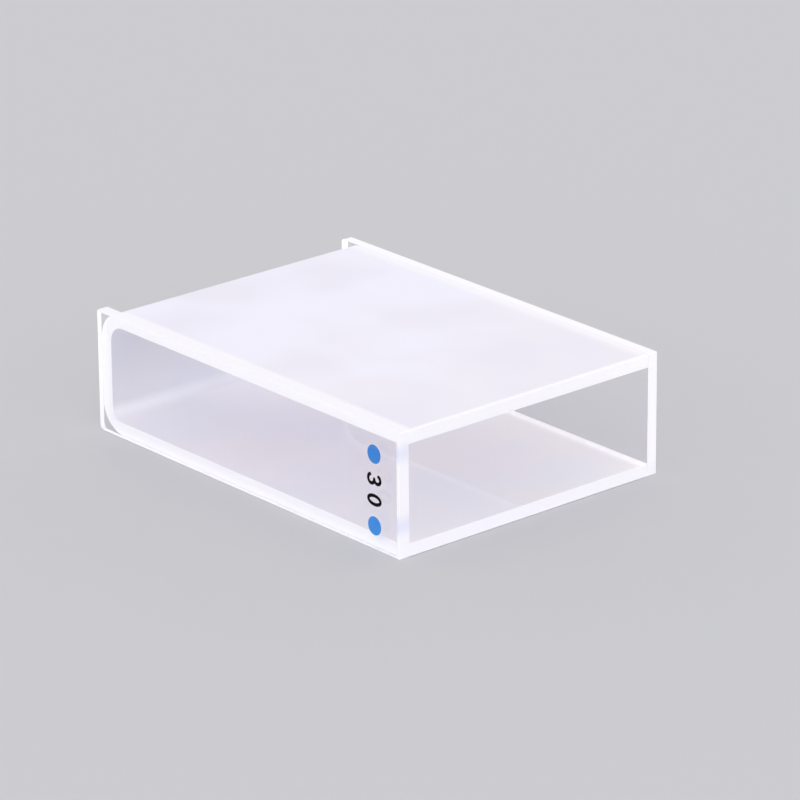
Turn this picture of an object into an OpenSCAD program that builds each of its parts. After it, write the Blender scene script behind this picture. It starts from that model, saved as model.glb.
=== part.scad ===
// Rectangular cell for a spectrophotometer, with a long light path, lying on one broad side.
//
// Three pieces of fused quartz are joined face to face:
//   channel_body   a trough of U form, with two broad frosted walls and the closed end
//   marked_window  the polished plate on the -X side, which carries the printed marks
//   plain_window   the polished plate on the +X side
//
// The windows are full rectangles, so at the closed end their corners stand past
// the round bends of the channel. The joined block is then ground all round.
// The channel is bent by hand, and its lower bend is sharper inside than its upper one.
//
// The origin is the middle of the underside. +X runs along the light path,
// +Y from the mouth to the closed end, and +Z up, across the broad walls.

/* [Chamber] */
// Light path, between the inner faces of the windows
light_path = 30; // [10:0.5:50]
// Width of the chamber, between the broad walls
chamber_w = 9.8; // [5:0.1:20]
// Length of the cell, from the mouth to the closed end
cell_l = 45; // [20:0.5:80]

/* [Glass] */
// Thickness of each window
window_t = 1.25; // [0.8:0.05:3]
// Thickness of each broad wall
wall_t = 1.35; // [0.8:0.05:2.5]
// Thickness of the closed end
end_t = 1.45; // [0.8:0.05:3]

/* [Bends and corners] */
// Outer radius of the channel's bends, beside the closed end
bend_outer_r = 3; // [1.5:0.1:4.5]
// Inner radius of the upper bend
upper_bend_inner_r = 1.75; // [0.5:0.05:2.5]
// Inner radius of the lower bend
lower_bend_inner_r = 0.9; // [0.5:0.05:2.5]
// Radius that is ground on the windows' lower corner, at the closed end
toe_r = 0.6; // [0.3:0.05:1.5]

/* [Ground edges] */
// Chamfer on the outer edges of the joined block
edge_chamfer = 0.15; // [0.05:0.01:0.25]
// Chamfer round the inside of the mouth
mouth_chamfer = 0.04; // [0.02:0.01:0.4]

/* [Hidden] */

// Smoothness of the bends
$fn = 96;
// How far a cutting shape runs past what it cuts
overrun = 1;

// Outer size of the joined block
block_x = light_path + 2 * window_t;
block_z = chamber_w + 2 * wall_t;
chamber_l = cell_l - end_t;

// Colours of the glass
frosted = [0.93, 0.93, 0.97];
polished = [0.78, 0.80, 0.90];

// Stands a flat outline of (Y, Z) up and gives it a length along X, centred
module along_x(length) {
    rotate([90, 0, 90])
        linear_extrude(height = length, center = true)
            children();
}

// Gives a flat outline of (X, Z) a length along Y, centred
module along_y(length) {
    rotate([90, 0, 0])
        linear_extrude(height = length, center = true)
            children();
}

// Upper half of an outline that reaches out to length, where its corner is round.
// It runs a little below its middle line, so that two halves join as one.
module rounded_half(length, width, corner_r) {
    translate([0, -overrun])
        square([length - corner_r, width / 2 + overrun]);
    translate([0, -overrun])
        square([length, width / 2 - corner_r + overrun]);
    translate([length - corner_r, width / 2 - corner_r])
        circle(r = corner_r);
}

// Outline that is open-ended at 0 and reaches out to length, where both corners are round
module round_ended(length, width, upper_r, lower_r) {
    rounded_half(length, width, upper_r);
    mirror([0, 1])
        rounded_half(length, width, lower_r);
}

// Section of the channel across the light path: the walls, the bends and the closed end
module channel_section() {
    difference() {
        translate([-cell_l / 2, 0])
            round_ended(cell_l, block_z, bend_outer_r, bend_outer_r);
        translate([-cell_l / 2 - overrun, 0])
            round_ended(chamber_l + overrun, chamber_w, upper_bend_inner_r, lower_bend_inner_r);
    }
}

// Lozenge whose sides cut the four corners of a rectangle at 45 degrees
module corner_lozenge(width, height) {
    reach = (width + height) / 2 - edge_chamfer;
    polygon([[reach, 0], [0, reach], [-reach, 0], [0, -reach]]);
}

// The space that grinding leaves: every outer edge of the block has its chamfer
module ground_block() {
    intersection() {
        along_x(block_x + 2 * overrun)
            corner_lozenge(cell_l, block_z);
        along_y(cell_l + 2 * overrun)
            corner_lozenge(block_x, block_z);
        linear_extrude(height = block_z + 2 * overrun, center = true)
            corner_lozenge(block_x, cell_l);
    }
}

// Wedge that narrows into the mouth, and is wider than the opening by the chamfer
module mouth_wedge(opening) {
    reach = opening / 2 + mouth_chamfer;
    translate([0, -cell_l / 2])
        polygon([[-reach - overrun, -overrun], [reach + overrun, -overrun], [0, reach]]);
}

// What is ground away round the inside of the mouth
module mouth_flare() {
    intersection() {
        linear_extrude(height = block_z + 2 * overrun, center = true)
            mouth_wedge(light_path);
        along_x(block_x + 2 * overrun)
            mirror([1, -1])
                mouth_wedge(chamber_w);
    }
}

// What is ground away at a window's lower corner: outside a disc whose outer rim is chamfered
module toe_waste() {
    rim_start = window_t - edge_chamfer;
    translate([light_path / 2, cell_l / 2 - toe_r, toe_r - block_z / 2])
        difference() {
            translate([-overrun, 0, -toe_r - overrun])
                cube([window_t + 2 * overrun, toe_r + overrun, toe_r + overrun]);
            rotate([0, 90, 0])
                rotate_extrude()
                    polygon([
                        [0, -2 * overrun],
                        [toe_r, -2 * overrun],
                        [toe_r, rim_start],
                        [0, rim_start + toe_r]
                    ]);
        }
}

// Polished plate on the +X side, from its joint with the channel to its outer face
module window_plate() {
    difference() {
        intersection() {
            translate([light_path / 2, -cell_l / 2, -block_z / 2])
                cube([window_t, cell_l, block_z]);
            ground_block();
        }
        toe_waste();
        mouth_flare();
    }
}

// Sets what is built round the middle of the block on the ground
module on_ground() {
    translate([0, 0, block_z / 2])
        children();
}

// Trough bent to a U: the broad walls, the bends and the closed end
module channel_body() {
    color(frosted)
        on_ground()
            difference() {
                intersection() {
                    along_x(light_path)
                        channel_section();
                    ground_block();
                }
                mouth_flare();
            }
}

// Window that carries the printed marks
module marked_window() {
    color(polished)
        on_ground()
            mirror([1, 0, 0])
                window_plate();
}

// Window without marks
module plain_window() {
    color(polished)
        on_ground()
            window_plate();
}

channel_body();
marked_window();
plain_window();
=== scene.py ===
from math import cos, pi, radians, sin

import bmesh
import bpy
from mathutils import Euler, Matrix, Vector


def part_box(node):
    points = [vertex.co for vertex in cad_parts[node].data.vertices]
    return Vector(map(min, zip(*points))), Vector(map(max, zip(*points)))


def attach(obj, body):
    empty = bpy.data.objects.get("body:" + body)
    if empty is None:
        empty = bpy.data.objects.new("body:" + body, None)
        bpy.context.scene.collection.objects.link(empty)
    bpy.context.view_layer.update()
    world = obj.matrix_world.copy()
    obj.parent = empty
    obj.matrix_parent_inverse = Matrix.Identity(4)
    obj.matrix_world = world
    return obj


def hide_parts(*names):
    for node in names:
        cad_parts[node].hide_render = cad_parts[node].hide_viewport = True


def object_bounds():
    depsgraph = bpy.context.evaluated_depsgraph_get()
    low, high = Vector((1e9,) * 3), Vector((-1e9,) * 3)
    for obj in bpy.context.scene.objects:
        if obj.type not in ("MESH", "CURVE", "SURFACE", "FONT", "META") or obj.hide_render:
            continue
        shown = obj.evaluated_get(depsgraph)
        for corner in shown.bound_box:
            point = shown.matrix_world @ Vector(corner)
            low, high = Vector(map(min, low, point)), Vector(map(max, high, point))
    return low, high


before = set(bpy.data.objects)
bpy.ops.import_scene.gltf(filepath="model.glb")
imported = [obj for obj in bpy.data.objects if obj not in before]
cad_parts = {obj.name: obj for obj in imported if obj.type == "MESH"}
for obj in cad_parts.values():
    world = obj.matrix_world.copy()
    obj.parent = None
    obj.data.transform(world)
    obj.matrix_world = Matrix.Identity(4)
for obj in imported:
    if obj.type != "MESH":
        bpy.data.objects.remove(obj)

# A fused-quartz cuvette with a 30 mm light path, lying on one broad side. X runs along the
# light path, Y from the mouth to the closed end and Z up. Lengths are in metres.

CAD_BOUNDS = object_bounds()
MM = 0.001

# ---------------------------------------------------------------- sizes of the cell

CHANNEL_LOW, CHANNEL_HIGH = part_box("channel_body")
MARKED_LOW, MARKED_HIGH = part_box("marked_window")
PLAIN_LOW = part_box("plain_window")[0]
LIGHT_PATH = CHANNEL_HIGH.x - CHANNEL_LOW.x
CELL_LENGTH = CHANNEL_HIGH.y - CHANNEL_LOW.y
CELL_HEIGHT = CHANNEL_HIGH.z - CHANNEL_LOW.z
MOUTH_Y = CHANNEL_LOW.y
MIDDLE = (Vector(CAD_BOUNDS[0]) + Vector(CAD_BOUNDS[1])) / 2

WALL, END_WALL = 1.35 * MM, 1.45 * MM
OUTER_BEND = 3.0 * MM
UPPER_INNER_BEND, LOWER_INNER_BEND = 1.75 * MM, 0.9 * MM
EDGE_CHAMFER, MOUTH_CHAMFER = 0.15 * MM, 0.04 * MM
# The grinding of the mouth runs on this far over the marked window's outer face
MOUTH_GRIND_RUN = 0.17 * MM
BEND_STEPS = 24

# The channel stops this short of each window, so that no two faces lie in one plane
JOINT_GAP = 0.02 * MM
# The marked window is drawn back by the height of the ink on it, and the ink is keyed into it
INK_HEIGHT, INK_THICK = 0.01 * MM, 0.02 * MM

# The print, on the marked window: how far its middle is from the mouth, and its heights
PRINT_INSET = 3.48 * MM
DOT_HEIGHTS = (9.49 * MM, 2.40 * MM)
DIGIT_HEIGHTS = (7.0 * MM, 4.96 * MM)
DOT_RADIUS, DOT_SIDES = 0.92 * MM, 64
DIGIT_TALL, DIGIT_WIDE, DIGIT_STROKE = 2.05 * MM, 1.24 * MM, 0.35 * MM
# Points along each arc of a digit, and the sides and rings of its rounded strokes
ARC_POINTS, STROKE_SIDES, STROKE_RINGS = 40, 16, 12
# Where the dots' blue shows as a painted sheen in the mouth edge, above the dots themselves
SHEEN_RISE, SHEEN_REACH = 0.95 * MM, 1.5 * MM
# Digits stand with their heads to the mouth and read downwards
PRINT_TURN = Matrix(((0, 0, -1), (0, -1, 0), (-1, 0, 0))).to_euler()

# ---------------------------------------------------------------- studio

VIEW_AZIMUTH, VIEW_ELEVATION, VIEW_ROLL = -40.61, 20.80, -0.45
VIEW_DISTANCE = 0.4928
VIEW_AIM = MIDDLE + Vector((1.83, -1.67, -0.94)) * MM
LENS_MM, SENSOR_MM = 229.9, 36.0

FLOOR_SIZE, FLOOR_DROP = 6.0, 0.05 * MM
SKY_BACKDROP = 0.62
# A light tent: its roof is dim and its sides are bright, most of all behind the camera's shoulder
ROOF_LIGHT, SIDE_LIGHT, SIDE_FALL = 0.73, 1.1, 2.0
PATCH_LIGHT, PATCH_SPREAD = 0.35, 2.0
PATCH_AZIMUTH, PATCH_ELEVATION = -45.0, 20.0
# Bends and bounces that one ray of light may take
LIGHT_STEPS = 52


def set_camera():
    """A long lens, low and to the left of the mouth, a touch out of level."""
    lens = bpy.data.cameras.new("studio_camera")
    lens.lens, lens.sensor_width = LENS_MM, SENSOR_MM
    camera = bpy.data.objects.new("studio_camera", lens)
    bpy.context.scene.collection.objects.link(camera)
    turn = (
        Matrix.Rotation(radians(VIEW_AZIMUTH), 4, "Z")
        @ Matrix.Rotation(radians(90 - VIEW_ELEVATION), 4, "X")
        @ Matrix.Rotation(radians(VIEW_ROLL), 4, "Z")
    )
    back = turn.to_3x3() @ Vector((0, 0, 1))
    camera.matrix_world = Matrix.Translation(VIEW_AIM + back * VIEW_DISTANCE) @ turn
    bpy.context.scene.camera = camera


# ---------------------------------------------------------------- node graphs


class Value:
    """What a socket gives. Arithmetic on it adds the Math nodes that work it out."""

    def __init__(self, graph, socket):
        self.graph, self.socket = graph, socket

    def math(self, operation, *operands):
        return self.graph.add("ShaderNodeMath", {"operation": operation}, dict(enumerate(operands)))

    def __add__(self, other):
        return self.math("ADD", self, other)

    def __sub__(self, other):
        return self.math("SUBTRACT", self, other)

    def __rsub__(self, other):
        return self.math("SUBTRACT", other, self)

    def __mul__(self, other):
        return self.math("MULTIPLY", self, other)

    def __truediv__(self, other):
        return self.math("DIVIDE", self, other)

    def __rtruediv__(self, other):
        return self.math("DIVIDE", other, self)

    def __abs__(self):
        return self.math("ABSOLUTE", self)

    def power(self, exponent):
        return self.math("POWER", self, exponent)

    def larger(self, other):
        """The larger of this and another value."""
        return self.math("MAXIMUM", self, other)

    __radd__ = __add__
    __rmul__ = __mul__


class Graph:
    """A node tree that grows one node at a time."""

    def __init__(self, tree):
        self.tree = tree

    def add(self, kind, settings=None, values=None, output=0):
        """Adds a node with its settings, then fills or links its sockets. Gives one output."""
        node = self.tree.nodes.new(kind)
        for name, setting in (settings or {}).items():
            setattr(node, name, setting)
        for key, value in (values or {}).items():
            if isinstance(value, Value):
                self.tree.links.new(value.socket, node.inputs[key])
            else:
                node.inputs[key].default_value = value
        return Value(self, node.outputs[output])


# ---------------------------------------------------------------- finishes

QUARTZ_IOR = 1.458


def rgb(red, green, blue):
    """A colour written as it shows, 0 to 255, in the linear numbers that a shader takes."""
    shown = [channel / 255 for channel in (red, green, blue)]
    linear = [((c + 0.055) / 1.055) ** 2.4 if c > 0.04045 else c / 12.92 for c in shown]
    return (*linear, 1.0)


CLEAR_TINT, DRAWN_TINT = (0.99, 0.988, 1.0, 1.0), (0.985, 0.982, 1.0, 1.0)
# Ground edges, the painted shade of the arrises among them that face the bright side of the tent,
# and the painted sheen of the dots' blue
WHITE_GRIND, SOFT_WHITE_GRIND = rgb(252, 250, 255), rgb(249, 247, 254)
ARRIS_PAINTED_SHADE, PAINTED_BLUE_SHEEN = rgb(245, 243, 249), rgb(224, 227, 250)
# The frosted walls: cool and warm parts, the shade of their clouds, and the grain
COOL_GRIND, WARM_GRIND = rgb(244, 243, 255), rgb(243, 239, 248)
SHADE_GRIND, GRAIN_GRIND = rgb(239, 236, 248), rgb(234, 232, 246)
# Ground glass seen from within the glass sends nearly all light back. Towards the mouth, and at the
# sides by the mouth, it is painted darker, as painted shade
INNER_GRIND, INNER_SHADE_AT_MOUTH = (0.970, 0.963, 0.973, 1.0), (0.943, 0.937, 0.948, 1.0)
INNER_SIDE_SHADE = (0.93, 0.922, 0.932, 1.0)
# Painted shade: the closed end is darker, most of all by the marked window
INNER_END_SHADE, INNER_CORNER_SHADE = (0.86, 0.865, 0.892, 1.0), (0.81, 0.815, 0.847, 1.0)
# Ground edges seen from within. The upper edges, all edges of the plain window and the joints take
# the lighter one: painted light
LOW_INNER_EDGE, HIGH_INNER_EDGE = (0.957, 0.955, 0.960, 1.0), (0.990, 0.989, 0.992, 1.0)
COOL_CLOUD, WARM_CLOUD = (0.981, 0.998, 1.012, 1.0), (1.017, 1.001, 0.99, 1.0)
# Painted light: the joints look evenly white all round, so they are painted whiter, with more
# painted glow, where less light reaches them
LOW_JOINT_WHITE, HIGH_JOINT_WHITE = rgb(246, 245, 249), rgb(253, 252, 254)
LOW_JOINT_GLOW, HIGH_JOINT_GLOW = (0.012, 0.012, 0.012, 1.0), (0.035, 0.035, 0.03, 1.0)
# Painted glow of the joints seen from within, and of the floor beside the far joint
INNER_JOINT_GLOW, FAR_SIDE_GLOW = (0.18, 0.177, 0.172, 1.0), (0.1, 0.1, 0.095, 1.0)
# Painted glow, as emission, as if light gathered by the whole block left it at its ground edges, at
# the lower bend and on the floor of the closed end
LOW_EDGE_GLOW, HIGH_EDGE_GLOW = (0.04, 0.038, 0.036, 1.0), (0.16, 0.16, 0.165, 1.0)
MOUTH_EDGE_GLOW, BACK_EDGE_GLOW = (0.11, 0.1, 0.092, 1.0), (0.11, 0.11, 0.105, 1.0)
RIM_GLOW, UNDER_GLOW = (0.035, 0.035, 0.03, 1.0), (0.2, 0.195, 0.19, 1.0)
BEND_GLOW, FLOOR_GLOW = (0.205, 0.205, 0.2, 1.0), (0.07, 0.07, 0.07, 1.0)
DARK = (0.0, 0.0, 0.0, 1.0)
DOT_BLUE, DOT_LIGHT_BLUE, DOT_STAIN = rgb(75, 149, 222), rgb(78, 163, 232), rgb(80, 170, 255)
NUMBER_BLACK, NUMBER_GREY = rgb(1, 1, 3), rgb(9, 9, 12)
FLOOR_PAINT = rgb(205, 205, 209)

# How strongly the dots' painted blue sheen shows on the mouth edge, and on the arris beside it
FACE_SHEEN, ARRIS_SHEEN = 0.62, 0.95
# How far the lower rim of the mouth is toned down by painted shade, and how high the upper edges'
# painted glow starts and is full, as shares of the cell's height
SILL_PAINTED_SHADE = 0.7
GLOW_START, GLOW_FULL = 0.8, 0.97
# Where the painted line of light stands on the lower bend, how far it spreads, and how much of it
# is left half-way across the cell
BEND_LINE, BEND_SPREAD, BEND_FADE = 1.5 * MM, 1.3 * MM, 0.6
# How far the painted light beside each joint and the mouth runs into the frost, how strong it is at
# the mouth, and how far the far joint's painted glow lights the floor
MARKED_LIGHT_REACH, PLAIN_LIGHT_REACH, MOUTH_LIGHT_REACH = 0.8 * MM, 1.7 * MM, 0.7 * MM
MOUTH_LIGHT_SHARE, FAR_JOINT_REACH = 0.6, 0.8 * MM
# Sizes of the patterns: grain of the ground and frosted faces, clouds in the frost, wipe
# marks and waves of the clear faces, and unevenness of the two inks
EDGE_GRAIN, JOINT_GRAIN, FROST_GRAIN = 0.08 * MM, 0.1 * MM, 0.12 * MM
WARMTH_SIZE, CLOUD_SIZE = 13 * MM, 11 * MM
WIPE_SIZE, WAVE_SIZE = 6 * MM, 4 * MM
BLUE_COAT, BLACK_COAT = 0.5 * MM, 0.3 * MM
# Where in the range of the clouds their warmth, shade and inner tint begin and are full
WARMTH_RANGE, SHADE_RANGE, TINT_RANGE = (0.38, 0.68), (0.4, 0.72), (0.31, 0.64)
# How much warmer the walls are by the mouth, and how much the grain shows in their colour
MOUTH_WARMTH, GRAIN_SHARE = 0.35, 0.25
# How deep the grain is, how strongly it shows, and how rough the ground faces are
EDGE_RELIEF, FROST_RELIEF, INK_RELIEF = 0.004 * MM, 0.005 * MM, 0.002 * MM
GRIND_STRENGTH, INK_STRENGTH = 0.4, 0.3
EDGE_ROUGHNESS, FROST_ROUGHNESS = 0.8, 0.65


class Finish(Graph):
    """A material in the making, with its patterns in the object's own metres."""

    def __init__(self, name):
        self.material = bpy.data.materials.new(name)
        self.material.use_nodes = True
        self.material.cycles.emission_sampling = "NONE"
        super().__init__(self.material.node_tree)
        self.tree.nodes.clear()
        self.place = self.add("ShaderNodeTexCoord", output="Object")
        self.from_within = self.add("ShaderNodeNewGeometry", output="Backfacing")

    def axis(self, name):
        """One coordinate of the place on the object."""
        return self.add("ShaderNodeSeparateXYZ", {}, {0: self.place}, output=name)

    def noise(self, size, detail=3.0, roughness=0.55):
        """Cloudy noise, 0 to 1, whose patches are about size across."""
        return self.add(
            "ShaderNodeTexNoise",
            {},
            {"Vector": self.place, "Scale": 1 / size, "Detail": detail, "Roughness": roughness},
        )

    def between(self, share, first, second):
        """The colour that lies share of the way from first to second."""
        return self.add(
            "ShaderNodeMix", {"data_type": "RGBA"}, {0: share, 6: first, 7: second}, output=2
        )

    def tinted(self, colour, tint):
        """The colour as it shows through the tint."""
        return self.add(
            "ShaderNodeMix",
            {"data_type": "RGBA", "blend_type": "MULTIPLY"},
            {0: 1.0, 6: colour, 7: tint},
            output=2,
        )

    def ramp(self, value, start, stop, low=0.0, high=1.0):
        """Eases from low to high as value goes from start to stop."""
        return self.add(
            "ShaderNodeMapRange",
            {"interpolation_type": "SMOOTHSTEP"},
            {0: value, 1: start, 2: stop, 3: low, 4: high},
        )

    def past(self, name, limit, ease=EDGE_CHAMFER / 5):
        """1 where an axis is past the limit and 0 before it, eased on both sides."""
        return self.ramp(self.axis(name), limit - ease, limit + ease)

    def bump(self, height, depth, strength=1.0):
        """A relief of the given depth, for the Normal socket."""
        return self.add(
            "ShaderNodeBump", {}, {"Height": height, "Distance": depth, "Strength": strength}
        )

    def surface(self, **sockets):
        """Ends the material in a Principled shader."""
        values = {name.replace("_", " "): value for name, value in sockets.items()}
        return self.ended(self.add("ShaderNodeBsdfPrincipled", {}, values, output="BSDF"))

    def ended(self, shader):
        """Ends the material in any shader."""
        outlet = self.tree.nodes.new("ShaderNodeOutputMaterial")
        self.tree.links.new(shader.socket, outlet.inputs["Surface"])
        return self.material


def polished_quartz():
    """Optical polish: clear, with the faintest wipe marks."""
    finish = Finish("polished_quartz")
    wipes = finish.noise(WIPE_SIZE, 2.0)
    return finish.surface(
        Base_Color=CLEAR_TINT,
        Roughness=finish.ramp(wipes, 0.45, 0.75, 0.0, 0.02),
        IOR=QUARTZ_IOR,
        Transmission_Weight=1.0,
    )


def ground_quartz():
    """Fine-ground edges and mouth: white, with a matt grain, painted shade and a painted blue sheen
    on some arrises, and a painted glow that makes them bright from within.
    """
    finish = Finish("ground_quartz")
    grain = finish.noise(EDGE_GRAIN, 0.0)
    white = finish.between(grain, WHITE_GRIND, SOFT_WHITE_GRIND)
    arris_end = MOUTH_Y + EDGE_CHAMFER
    on_mouth = finish.ramp(finish.axis("Y"), MOUTH_Y, arris_end, 1.0, 0.0)
    on_marked = finish.ramp(
        finish.axis("X"), MARKED_HIGH.x, MARKED_HIGH.x + EDGE_CHAMFER, 1.0, 0.0
    )
    on_plain = finish.ramp(finish.axis("X"), 0.0, PLAIN_LOW.x)

    # Painted sheen: the dots' blue, as it would show faintly through the glass, is painted on the
    # marked window's mouth edge. It is strongest on the arris and on the grinding beyond it
    upper, lower = [
        finish.ramp(abs(finish.axis("Z") - height - SHEEN_RISE), 0.0, SHEEN_REACH, 1.0, 0.0)
        for height in DOT_HEIGHTS
    ]
    by_mouth = finish.ramp(
        finish.axis("Y"), arris_end, arris_end + 3 * MOUTH_GRIND_RUN, 1.0, 0.0
    )
    strength = finish.ramp(finish.axis("Y"), MOUTH_Y, arris_end, FACE_SHEEN, ARRIS_SHEEN)
    painted_sheen = (upper + lower) * by_mouth * on_marked * strength
    with_painted_sheen = finish.between(painted_sheen, white, PAINTED_BLUE_SHEEN)

    # Painted shade: the arris along the top faces the bright side of the tent, and is painted
    # darker to match. So is the lower rim of the mouth, towards the plain window
    on_rim = on_mouth.larger(1 - finish.past("X", MARKED_LOW.x + EDGE_CHAMFER))
    on_top = finish.past("Z", CELL_HEIGHT - EDGE_CHAMFER)
    on_sill = (1 - finish.past("Z", WALL, WALL / 5)) * on_mouth * on_plain
    outside = finish.between((on_rim * on_top).larger(on_sill * SILL_PAINTED_SHADE), with_painted_sheen, ARRIS_PAINTED_SHADE)

    # Painted light from within: the upper edges of both windows are painted lighter and glow, and
    # so do all the edges of the plain one
    high = finish.ramp(finish.axis("Z"), CELL_HEIGHT * GLOW_START, CELL_HEIGHT * GLOW_FULL)
    bright = high.larger(on_plain)
    to_mouth = finish.ramp(finish.axis("Y"), MOUTH_Y, 0.0, 1.0, 0.0)
    lengthwise = finish.between(to_mouth, LOW_EDGE_GLOW, MOUTH_EDGE_GLOW)
    at_back = finish.past("Y", CHANNEL_HIGH.y - EDGE_CHAMFER, EDGE_CHAMFER / 2)
    low_glow = finish.between(at_back, lengthwise, BACK_EDGE_GLOW)
    glow = finish.between(bright, low_glow, HIGH_EDGE_GLOW)
    inside = finish.between(bright, LOW_INNER_EDGE, HIGH_INNER_EDGE)

    # Outside, only the underside and the edges towards the plain window have a painted glow
    underneath = 1 - finish.past("Z", EDGE_CHAMFER)
    rim_glow = finish.between(underneath, finish.between(on_plain, DARK, RIM_GLOW), UNDER_GLOW)
    return finish.surface(
        Base_Color=finish.between(finish.from_within, outside, inside),
        Roughness=EDGE_ROUGHNESS,
        Specular_IOR_Level=0.0,
        Emission_Color=finish.between(finish.from_within, rim_glow, glow),
        Emission_Strength=1.0,
        Normal=finish.bump(grain, EDGE_RELIEF, GRIND_STRENGTH),
    )


def joined_quartz():
    """The channel's faces that are fused to the windows: white, painted lighter and given a painted
    glow higher up so that they look even all round.
    """
    finish = Finish("joined_quartz")
    grain = finish.noise(JOINT_GRAIN, 0.0)
    above_edge = finish.ramp(finish.axis("Z"), EDGE_CHAMFER, WALL)
    white = finish.between(above_edge, LOW_JOINT_WHITE, HIGH_JOINT_WHITE)
    height = finish.ramp(finish.axis("Z"), WALL / 2, CELL_HEIGHT / 2)
    glow = finish.between(height, LOW_JOINT_GLOW, HIGH_JOINT_GLOW)
    return finish.surface(
        Base_Color=finish.between(finish.from_within, white, HIGH_INNER_EDGE),
        Roughness=finish.ramp(grain, 0.3, 0.7, 0.7, 0.85),
        Specular_IOR_Level=0.0,
        Emission_Color=finish.between(finish.from_within, glow, INNER_JOINT_GLOW),
        Emission_Strength=1.0,
    )


def frosted_quartz():
    """Frosted outer faces of the channel: milky, with a lavender cast, painted lighter along the
    joints, and with painted shade and glow seen from within.
    """
    finish = Finish("frosted_quartz")
    grain = finish.noise(FROST_GRAIN, 0.0)
    clouds = finish.noise(CLOUD_SIZE, 1.0)
    to_mouth = finish.ramp(
        finish.axis("Y"), MOUTH_Y, CHANNEL_HIGH.y, MOUTH_WARMTH, -MOUTH_WARMTH
    )
    warmth = finish.ramp(finish.noise(WARMTH_SIZE, 2.0) + to_mouth * 0.5, *WARMTH_RANGE)
    body = finish.between(warmth, COOL_GRIND, WARM_GRIND)
    shaded = finish.between(finish.ramp(clouds, *SHADE_RANGE), body, SHADE_GRIND)
    grained = finish.between(grain * GRAIN_SHARE, shaded, GRAIN_GRIND)
    # Painted light: the frost is painted whiter beside both joints and the mouth
    near_marked = finish.ramp(
        finish.axis("X"), CHANNEL_LOW.x, CHANNEL_LOW.x + MARKED_LIGHT_REACH, 1.0, 0.0
    )
    near_plain = finish.ramp(finish.axis("X"), CHANNEL_HIGH.x - PLAIN_LIGHT_REACH, CHANNEL_HIGH.x)
    near_mouth = finish.ramp(
        finish.axis("Y"), MOUTH_Y, MOUTH_Y + MOUTH_LIGHT_REACH, MOUTH_LIGHT_SHARE, 0.0
    )
    painted_light = near_marked.larger(near_plain).larger(near_mouth)
    outside = finish.between(painted_light, grained, WHITE_GRIND)

    # Painted shade from within: the sides are darker by the mouth, and so is the closed end, which
    # has nothing lit behind it
    depth = finish.ramp(finish.axis("Y"), MOUTH_Y, MOUTH_Y + CELL_LENGTH * 0.6)
    lengthwise = finish.between(depth, INNER_SHADE_AT_MOUTH, INNER_GRIND)
    to_side = finish.ramp(abs(finish.axis("X")), LIGHT_PATH * 0.3, LIGHT_PATH * 0.5)
    along = finish.between(to_side * (1 - depth), lengthwise, INNER_SIDE_SHADE)
    at_end = finish.ramp(
        finish.axis("Y"), CHANNEL_HIGH.y - OUTER_BEND / 2, CHANNEL_HIGH.y - END_WALL / 5
    )
    from_corner = finish.ramp(finish.axis("X"), CHANNEL_LOW.x, CHANNEL_LOW.x * 0.4)
    end_shade = finish.between(from_corner, INNER_CORNER_SHADE, INNER_END_SHADE)
    cloudy = finish.between(finish.ramp(clouds, *TINT_RANGE), COOL_CLOUD, WARM_CLOUD)
    inside = finish.tinted(finish.between(at_end, along, end_shade), cloudy)

    # A painted glow: the lower bend shows as a soft bright line across the light path
    bend_start, bend_middle = CHANNEL_HIGH.y - OUTER_BEND, CHANNEL_HIGH.y - OUTER_BEND / 2
    in_bend = finish.ramp(finish.axis("Y"), bend_start, bend_middle)
    on_line = finish.ramp(abs(finish.axis("Z") - BEND_LINE), 0.0, BEND_SPREAD, 1.0, 0.0)
    fading = finish.ramp(finish.axis("X"), CHANNEL_LOW.x, 0.0, 1.0, BEND_FADE)
    lit_bend = in_bend * on_line * fading * finish.from_within
    bend_glow = finish.between(lit_bend, DARK, BEND_GLOW)
    # A painted glow on the floor of the closed end too, away from the marked window
    to_bend = finish.ramp(finish.axis("Y"), CELL_LENGTH * 0.15, bend_middle)
    to_plain = finish.ramp(finish.axis("X"), CHANNEL_LOW.x * 0.5, CHANNEL_HIGH.x * 0.1)
    on_floor = finish.ramp(finish.axis("Z"), WALL / 2, WALL, 1.0, 0.0)
    lit_floor = to_bend * to_plain * on_floor * finish.from_within
    bend_and_floor_glow = finish.between(lit_floor, bend_glow, FLOOR_GLOW)
    # A painted glow on the floor beside the far joint, as if the joint lit it
    by_joint = finish.ramp(finish.axis("X"), CHANNEL_HIGH.x - FAR_JOINT_REACH, CHANNEL_HIGH.x)
    glow = finish.between(by_joint * on_floor * finish.from_within, bend_and_floor_glow, FAR_SIDE_GLOW)
    return finish.surface(
        Base_Color=finish.between(finish.from_within, outside, inside),
        Roughness=FROST_ROUGHNESS,
        Specular_IOR_Level=0.0,
        Emission_Color=glow,
        Emission_Strength=1.0,
        Normal=finish.bump(grain, FROST_RELIEF, GRIND_STRENGTH),
    )


def drawn_quartz():
    """Fire-polished inner faces of the channel: clear and slightly soft."""
    finish = Finish("drawn_quartz")
    waves = finish.noise(WAVE_SIZE, 1.0)
    return finish.surface(
        Base_Color=DRAWN_TINT,
        Roughness=finish.ramp(waves, 0.3, 0.7, 0.02, 0.06),
        IOR=QUARTZ_IOR,
        Transmission_Weight=1.0,
    )


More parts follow.
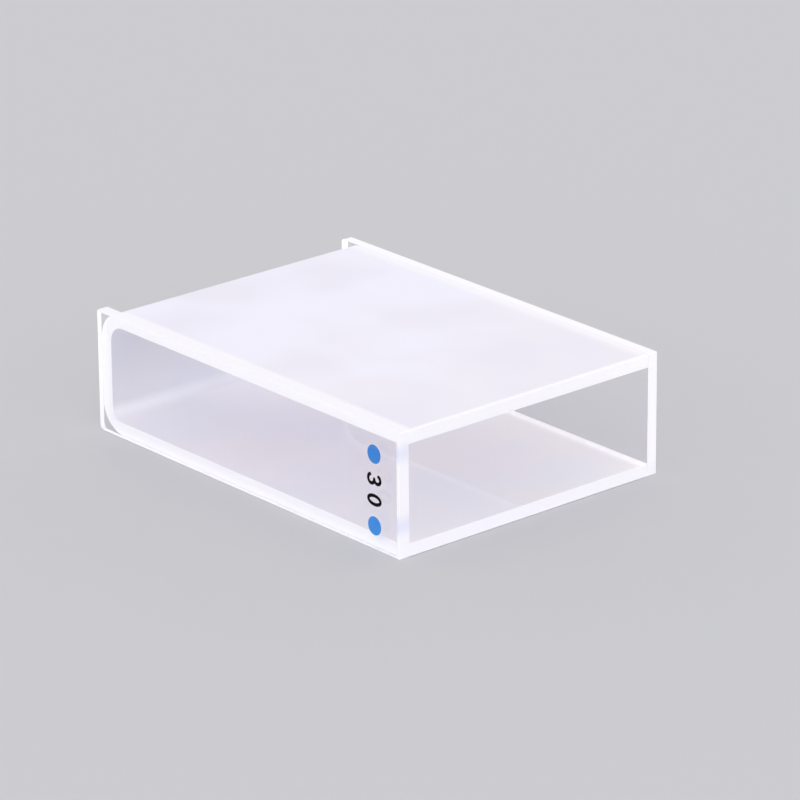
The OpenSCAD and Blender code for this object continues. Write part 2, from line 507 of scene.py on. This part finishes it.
def blue_ink():
    """The dots' ink: a thin blue coat that lets a little of what is behind it through."""
    finish = Finish("blue_ink")
    coat = finish.noise(BLUE_COAT)
    # The lower dot overlaps the white joint, and is lighter for it
    lowness = finish.ramp(finish.axis("Z"), DOT_HEIGHTS[1], DOT_HEIGHTS[0], 1.0, 0.0)
    colour = finish.between(lowness * 0.8 + coat * 0.2, DOT_BLUE, DOT_LIGHT_BLUE)
    solid = finish.add(
        "ShaderNodeBsdfPrincipled",
        {},
        {
            "Base Color": colour,
            "Roughness": 0.5,
            "Specular IOR Level": 0.15,
            "Normal": finish.bump(coat, INK_RELIEF, INK_STRENGTH),
        },
    )
    clear = finish.add("ShaderNodeBsdfTransparent", {}, {"Color": DOT_STAIN})
    thin = finish.ramp(coat, 0.2, 0.8, 0.22, 0.34)
    return finish.ended(finish.add("ShaderNodeMixShader", {}, {0: thin, 1: solid, 2: clear}))


def black_ink():
    """The number's ink: black, with a slightly uneven coat."""
    finish = Finish("black_ink")
    coat = finish.noise(BLACK_COAT)
    return finish.surface(
        Base_Color=finish.between(coat, NUMBER_BLACK, NUMBER_GREY),
        Roughness=finish.ramp(coat, 0.3, 0.7, 0.4, 0.55),
        Specular_IOR_Level=0.06,
        Normal=finish.bump(coat, INK_RELIEF, INK_STRENGTH),
    )


def floor_paint():
    """Matt pale grey, all over."""
    return Finish("floor_paint").surface(Base_Color=FLOOR_PAINT, Roughness=0.9)


# ---------------------------------------------------------------- geometry trees


class Shape(Graph):
    """A geometry tree with named inputs, run once on an empty object and turned into a mesh."""

    def __init__(self, name):
        super().__init__(bpy.data.node_groups.new(name, "GeometryNodeTree"))
        self.name = name
        self.settings = {}
        self.inlet = self.tree.nodes.new("NodeGroupInput")
        self.tree.interface.new_socket(
            "Geometry", in_out="OUTPUT", socket_type="NodeSocketGeometry"
        )

    def size(self, name, value):
        """A named input of the tree, in metres or as a count, and the value the piece gives it."""
        kind = "NodeSocketInt" if isinstance(value, int) else "NodeSocketFloat"
        socket = self.tree.interface.new_socket(name, in_out="INPUT", socket_type=kind)
        self.settings[socket.identifier] = value
        return Value(self, self.inlet.outputs[name])

    def point(self, x, y, z=0.0):
        """A point or direction from its three parts."""
        return self.add("ShaderNodeCombineXYZ", {}, {0: x, 1: y, 2: z})

    def pick(self, kind, choices):
        """What the point of each index takes, out of a list."""
        index = self.add("GeometryNodeInputIndex")
        node = self.tree.nodes.new("GeometryNodeIndexSwitch")
        node.data_type = kind
        while len(node.index_switch_items) < len(choices):
            node.index_switch_items.new()
        self.tree.links.new(index.socket, node.inputs[0])
        for place, choice in enumerate(choices, start=1):
            if isinstance(choice, Value):
                self.tree.links.new(choice.socket, node.inputs[place])
            else:
                node.inputs[place].default_value = choice
        return Value(self, node.outputs[0])

    def outline(self, corners):
        """A closed outline of corners (point, radius, steps), with its corners rounded."""
        points = self.add(
            "GeometryNodePoints",
            {},
            {"Count": len(corners), "Position": self.pick("VECTOR", [c[0] for c in corners])},
        )
        line = self.add("GeometryNodePointsToCurves", {}, {"Points": points})
        loop = self.add("GeometryNodeSetSplineCyclic", {}, {"Geometry": line, "Cyclic": True})
        return self.add(
            "GeometryNodeFilletCurve",
            {"mode": "POLY"},
            {
                "Curve": loop,
                "Count": self.pick("INT", [c[2] for c in corners]),
                "Radius": self.pick("FLOAT", [c[1] for c in corners]),
            },
        )

    def block(self, outline, depth):
        """The outline as a closed solid, drawn out by depth along Z."""
        face = self.add("GeometryNodeFillCurve", {"mode": "NGONS"}, {"Curve": outline})
        drawn = self.add(
            "GeometryNodeExtrudeMesh",
            {"mode": "FACES"},
            {
                "Mesh": face,
                "Offset": self.point(0.0, 0.0, 1.0),
                "Offset Scale": depth,
                "Individual": False,
            },
        )
        base = self.add("GeometryNodeFlipFaces", {}, {"Mesh": face})
        return self.merged([drawn, base])

    def joined(self, parts):
        """The parts as one geometry, in their order."""
        node = self.tree.nodes.new("GeometryNodeJoinGeometry")
        for part in reversed(parts):
            self.tree.links.new(part.socket, node.inputs[0])
        return Value(self, node.outputs[0])

    def merged(self, parts, distance=1e-7):
        """The parts as one geometry, with the points that meet made one."""
        return self.add(
            "GeometryNodeMergeByDistance",
            {},
            {"Geometry": self.joined(parts), "Distance": distance},
        )

    def placed(self, geometry, place, turn=(0.0, 0.0, 0.0)):
        """The geometry turned, then moved to its place."""
        return self.add(
            "GeometryNodeTransform",
            {},
            {"Geometry": geometry, "Translation": place, "Rotation": Euler(turn)},
        )

    def coated(self, geometry, material, where=True):
        """The geometry with the material on those faces where it is asked for."""
        return self.add(
            "GeometryNodeSetMaterial",
            {},
            {"Geometry": geometry, "Selection": where, "Material": material},
        )

    def on_window(self, inset, height):
        """A place in the ink on the marked window, inset from the mouth."""
        return self.point(MARKED_LOW.x + INK_THICK / 2, inset + MOUTH_Y, height)

    def arc(self, half_wide, half_tall, middle, start, sweep):
        """Part of an ellipse, from start degrees on, as a line."""
        line = self.add(
            "GeometryNodeCurveArc",
            {"mode": "RADIUS"},
            {
                "Resolution": ARC_POINTS,
                "Radius": 1.0,
                "Start Angle": radians(start),
                "Sweep Angle": radians(sweep),
            },
        )
        return self.add(
            "GeometryNodeTransform",
            {},
            {
                "Geometry": line,
                "Scale": self.point(half_wide, half_tall, 1.0),
                "Translation": middle,
            },
        )

    def inked(self, lines, stroke):
        """Lines as round-ended strokes of ink, pressed flat."""
        nib = self.add(
            "GeometryNodeCurvePrimitiveCircle",
            {"mode": "RADIUS"},
            {"Resolution": STROKE_SIDES, "Radius": stroke * 0.5},
        )
        strokes = self.add(
            "GeometryNodeCurveToMesh",
            {},
            {"Curve": lines, "Profile Curve": nib, "Fill Caps": True},
        )
        bead = self.add(
            "GeometryNodeMeshUVSphere",
            {},
            {"Segments": STROKE_SIDES, "Rings": STROKE_RINGS, "Radius": stroke * 0.5},
        )
        ends = self.add(
            "GeometryNodeCurveEndpointSelection", {}, {"Start Size": 1, "End Size": 1}
        )
        beads = self.add(
            "GeometryNodeInstanceOnPoints",
            {},
            {"Points": lines, "Selection": ends, "Instance": bead},
        )
        pressed = self.point(1.0, 1.0, INK_THICK / stroke)
        return self.add(
            "GeometryNodeTransform",
            {},
            {"Geometry": self.joined([strokes, self.real(beads)]), "Scale": pressed},
        )

    def real(self, instances):
        """The instances as geometry of their own."""
        return self.add("GeometryNodeRealizeInstances", {}, {"Geometry": instances})

    def compare(self, operation, first, second):
        """True where the comparison of the two values holds."""
        return self.add(
            "FunctionNodeCompare",
            {"data_type": "FLOAT", "operation": operation},
            {0: first, 1: second},
        )

    def piece(self, geometry):
        """Ends the tree, runs it, and gives the mesh object it makes."""
        solid = self.real(geometry)
        outlet = self.tree.nodes.new("NodeGroupOutput")
        self.tree.links.new(solid.socket, outlet.inputs[0])
        holder = bpy.data.objects.new(self.name + "_holder", bpy.data.meshes.new(self.name))
        bpy.context.scene.collection.objects.link(holder)
        modifier = holder.modifiers.new(self.name, "NODES")
        modifier.node_group = self.tree
        for identifier, value in self.settings.items():
            modifier[identifier] = value
        ready = holder.evaluated_get(bpy.context.evaluated_depsgraph_get())
        mesh = bpy.data.meshes.new_from_object(ready)
        bpy.data.objects.remove(holder)
        mesh.name = self.name
        piece = bpy.data.objects.new(self.name, mesh)
        bpy.context.scene.collection.objects.link(piece)
        return piece


# ---------------------------------------------------------------- pieces of the cell


def make_channel(finishes):
    """The trough: its U section is rounded, filled and drawn out along the light path."""
    shape = Shape("channel_glass")
    depth = shape.size("Light path", LIGHT_PATH - 2 * JOINT_GAP)
    length = shape.size("Cell length", CELL_LENGTH)
    height = shape.size("Cell height", CELL_HEIGHT)
    wall = shape.size("Wall", WALL)
    end = shape.size("End wall", END_WALL)
    outer = shape.size("Outer bend", OUTER_BEND)
    upper_bend = shape.size("Upper inner bend", UPPER_INNER_BEND)
    lower_bend = shape.size("Lower inner bend", LOWER_INNER_BEND)
    edge = shape.size("Edge chamfer", EDGE_CHAMFER)
    flare = shape.size("Mouth chamfer", MOUTH_CHAMFER)
    steps = shape.size("Bend steps", BEND_STEPS)
    mouth, back = length * -0.5, length * 0.5
    chamber_back = back - end
    ceiling = height - wall
    section = shape.outline(
        [
            (shape.point(mouth, 0.0), edge, 1),
            (shape.point(back, 0.0), outer, steps),
            (shape.point(back, height), outer, steps),
            (shape.point(mouth, height), edge, 1),
            (shape.point(mouth, ceiling), flare, 1),
            (shape.point(chamber_back, ceiling), upper_bend, steps),
            (shape.point(chamber_back, wall), lower_bend, steps),
            (shape.point(mouth, wall), flare, 1),
        ]
    )
    solid = shape.block(section, depth)
    stood = shape.placed(solid, shape.point(depth * -0.5, 0.0, 0.0), (pi / 2, 0.0, pi / 2))
    # Its faces: the chamber's, the rim of the mouth, the joints, and the frosted outside
    place = shape.add("GeometryNodeInputPosition")
    normal = shape.add("GeometryNodeInputNormal")
    across = shape.add("ShaderNodeSeparateXYZ", {}, {0: normal}, output="X")
    depth_in = shape.add("ShaderNodeSeparateXYZ", {}, {0: place}, output="Y")
    up = shape.add("ShaderNodeSeparateXYZ", {}, {0: place}, output="Z")
    from_middle = abs(up - height * 0.5)
    within_walls = shape.compare("LESS_THAN", from_middle, height * 0.5 - wall * 0.9)
    before_end = shape.compare("LESS_THAN", depth_in, back - end * 0.9)
    hollow = shape.add(
        "FunctionNodeBooleanMath", {"operation": "AND"}, {0: within_walls, 1: before_end}
    )
    joint = shape.compare("GREATER_THAN", abs(across), 0.9)
    rim = shape.compare("LESS_THAN", depth_in, mouth * 0.98)
    coated = shape.coated(stood, finishes["frosted"])
    coated = shape.coated(coated, finishes["drawn"], hollow)
    coated = shape.coated(coated, finishes["ground"], rim)
    coated = shape.coated(coated, finishes["joined"], joint)
    return shape.piece(coated)


def make_window(node, name, finishes, room_for_ink=0.0, grind_run=0.0):
    """A window from its CAD form: polished faces, ground edges, drawn back under any ink.

    The grinding of the mouth may run on a little over its outer face.
    """
    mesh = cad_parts[node].data.copy()
    mesh.name = name
    mesh.materials.clear()
    mesh.materials.append(finishes["polished"])
    mesh.materials.append(finishes["ground"])
    body = bmesh.new()
    body.from_mesh(mesh)
    bmesh.ops.remove_doubles(body, verts=body.verts, dist=1e-7)
    bmesh.ops.dissolve_limit(body, angle_limit=radians(0.5), verts=body.verts, edges=body.edges)
    outer_x = min(vertex.co.x for vertex in body.verts)
    for vertex in body.verts:
        if vertex.co.x < outer_x + EDGE_CHAMFER / 2:
            vertex.co.x += room_for_ink
    ground_to = MOUTH_Y + EDGE_CHAMFER + grind_run
    if grind_run:
        bmesh.ops.bisect_plane(
            body,
            geom=body.verts[:] + body.edges[:] + body.faces[:],
            plane_co=(0.0, ground_to, 0.0),
            plane_no=(0.0, 1.0, 0.0),
        )
    for face in body.faces:
        face.normal_update()
        ground_over = face.normal.x < 0.0 and face.calc_center_bounds().y < ground_to
        face.material_index = 0 if abs(face.normal.x) > 0.9 and not ground_over else 1
        face.smooth = False
    body.to_mesh(mesh)
    body.free()
    piece = bpy.data.objects.new(name, mesh)
    bpy.context.scene.collection.objects.link(piece)
    return piece


def make_dots(finishes):
    """Two round dots of blue ink, one at each height."""
    shape = Shape("print_dots")
    radius = shape.size("Dot radius", DOT_RADIUS)
    inset = shape.size("Inset from the mouth", PRINT_INSET)
    upper = shape.size("Upper dot height", DOT_HEIGHTS[0])
    lower = shape.size("Lower dot height", DOT_HEIGHTS[1])
    dot = shape.add(
        "GeometryNodeMeshCylinder",
        {"fill_type": "NGON"},
        {"Vertices": DOT_SIDES, "Radius": radius, "Depth": INK_THICK},
    )
    places = shape.add(
        "GeometryNodePoints",
        {},
        {
            "Count": 2,
            "Position": shape.pick(
                "VECTOR", [shape.on_window(inset, upper), shape.on_window(inset, lower)]
            ),
        },
    )
    dots = shape.add(
        "GeometryNodeInstanceOnPoints",
        {},
        {"Points": places, "Instance": dot, "Rotation": PRINT_TURN},
    )
    return shape.piece(shape.coated(shape.real(dots), finishes["blue"]))


def make_number(finishes):
    """The plain number 30, drawn as strokes of ink along arcs."""
    shape = Shape("print_number")
    tall = shape.size("Digit height", DIGIT_TALL)
    wide = shape.size("Digit width", DIGIT_WIDE)
    stroke = shape.size("Stroke width", DIGIT_STROKE)
    inset = shape.size("Inset from the mouth", PRINT_INSET)
    first = shape.size("First digit height", DIGIT_HEIGHTS[0])
    second = shape.size("Second digit height", DIGIT_HEIGHTS[1])
    half_tall, half_wide = (tall - stroke) * 0.5, (wide - stroke) * 0.5
    # The upper bowl of the 3 is a little narrower than the lower one, and so is the ring of the 0
    bowl = half_tall * 0.5
    upper_bowl = shape.arc(half_wide * 0.88, bowl, shape.point(half_wide * -0.06, bowl), 155, -245)
    lower_bowl = shape.arc(half_wide, bowl, shape.point(0.0, bowl * -1.0), 90, -248)
    ring = shape.arc(half_wide * 0.96, half_tall, shape.point(0.0, 0.0), 0, 360)
    three = shape.inked(shape.joined([upper_bowl, lower_bowl]), stroke)
    nought = shape.inked(ring, stroke)
    placed = [
        shape.placed(three, shape.on_window(inset, first), PRINT_TURN),
        shape.placed(nought, shape.on_window(inset, second), PRINT_TURN),
    ]
    return shape.piece(shape.coated(shape.joined(placed), finishes["black"]))


def set_stage():
    """A plain floor just below the cell."""
    floor_mesh = bpy.data.meshes.new("floor")
    half = FLOOR_SIZE / 2
    outline = ((-half, -half), (half, -half), (half, half), (-half, half))
    floor_mesh.from_pydata([(x, y, -FLOOR_DROP) for x, y in outline], [], [(0, 1, 2, 3)])
    floor_mesh.materials.append(floor_paint())
    floor = bpy.data.objects.new("floor", floor_mesh)
    bpy.context.scene.collection.objects.link(floor)


def set_lights():
    """A light tent with one brighter patch, and a plain backdrop where it shows."""
    world = bpy.data.worlds.new("studio")
    world.use_nodes = True
    # Bounced light meets so even a tent often enough without being aimed at it
    world.cycles.sampling_method = "NONE"
    bpy.context.scene.world = world
    sky = Graph(world.node_tree)
    sky.tree.nodes.clear()
    outward = sky.add("ShaderNodeTexCoord", output="Generated")
    azimuth, elevation = radians(PATCH_AZIMUTH), radians(PATCH_ELEVATION)
    to_patch = (sin(azimuth) * cos(elevation), -cos(azimuth) * cos(elevation), sin(elevation))
    nearness = sky.add(
        "ShaderNodeVectorMath",
        {"operation": "DOT_PRODUCT"},
        {0: outward, 1: to_patch},
        output="Value",
    )
    patch = nearness.larger(0.0).power(PATCH_SPREAD)
    height = sky.add("ShaderNodeSeparateXYZ", {}, {0: outward}, output="Z")
    lowness = (1 - height.larger(0.0)).power(SIDE_FALL)
    dome = patch * PATCH_LIGHT + lowness * SIDE_LIGHT + ROOF_LIGHT
    seen = sky.add("ShaderNodeLightPath", output="Is Camera Ray")
    mirrored = sky.add("ShaderNodeLightPath", output="Is Glossy Ray")
    through = sky.add("ShaderNodeLightPath", output="Is Transmission Ray")
    scatterings = sky.add("ShaderNodeLightPath", output="Diffuse Depth")
    straight = scatterings.math("LESS_THAN", scatterings, 0.5)
    shown = seen.larger(mirrored.larger(through) * straight)
    strength = shown * SKY_BACKDROP + (1 - shown) * dome
    light = sky.add("ShaderNodeBackground", {}, {"Color": (1, 1, 1, 1), "Strength": strength})
    outlet = sky.tree.nodes.new("ShaderNodeOutputWorld")
    sky.tree.links.new(light.socket, outlet.inputs["Surface"])
    bpy.context.scene.view_settings.view_transform = "Standard"


def set_light_paths():
    """Lets light bounce about inside the glass for as long as it really does, and unblurred."""
    paths = bpy.context.scene.cycles
    paths.max_bounces = LIGHT_STEPS
    paths.transmission_bounces = LIGHT_STEPS
    paths.glossy_bounces = LIGHT_STEPS
    paths.diffuse_bounces = LIGHT_STEPS // 2
    paths.blur_glossy = 0.0


set_camera()
set_stage()
set_lights()
set_light_paths()

FINISHES = {
    "polished": polished_quartz(),
    "ground": ground_quartz(),
    "joined": joined_quartz(),
    "frosted": frosted_quartz(),
    "drawn": drawn_quartz(),
    "blue": blue_ink(),
    "black": black_ink(),
}

CHANNEL = make_channel(FINISHES)
MARKED = make_window("marked_window", "marked_window_glass", FINISHES, INK_HEIGHT, MOUTH_GRIND_RUN)
PLAIN = make_window("plain_window", "plain_window_glass", FINISHES)

# Each piece, the CAD node it replaces and its main material
PIECES = (
    (CHANNEL, "channel_body", "frosted_quartz"),
    (MARKED, "marked_window", "polished_quartz"),
    (PLAIN, "plain_window", "polished_quartz"),
    (make_dots(FINISHES), None, "blue_ink"),
    (make_number(FINISHES), None, "black_ink"),
)
for piece, node, slot in PIECES:
    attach(piece, "root")
    if node:
        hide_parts(node)
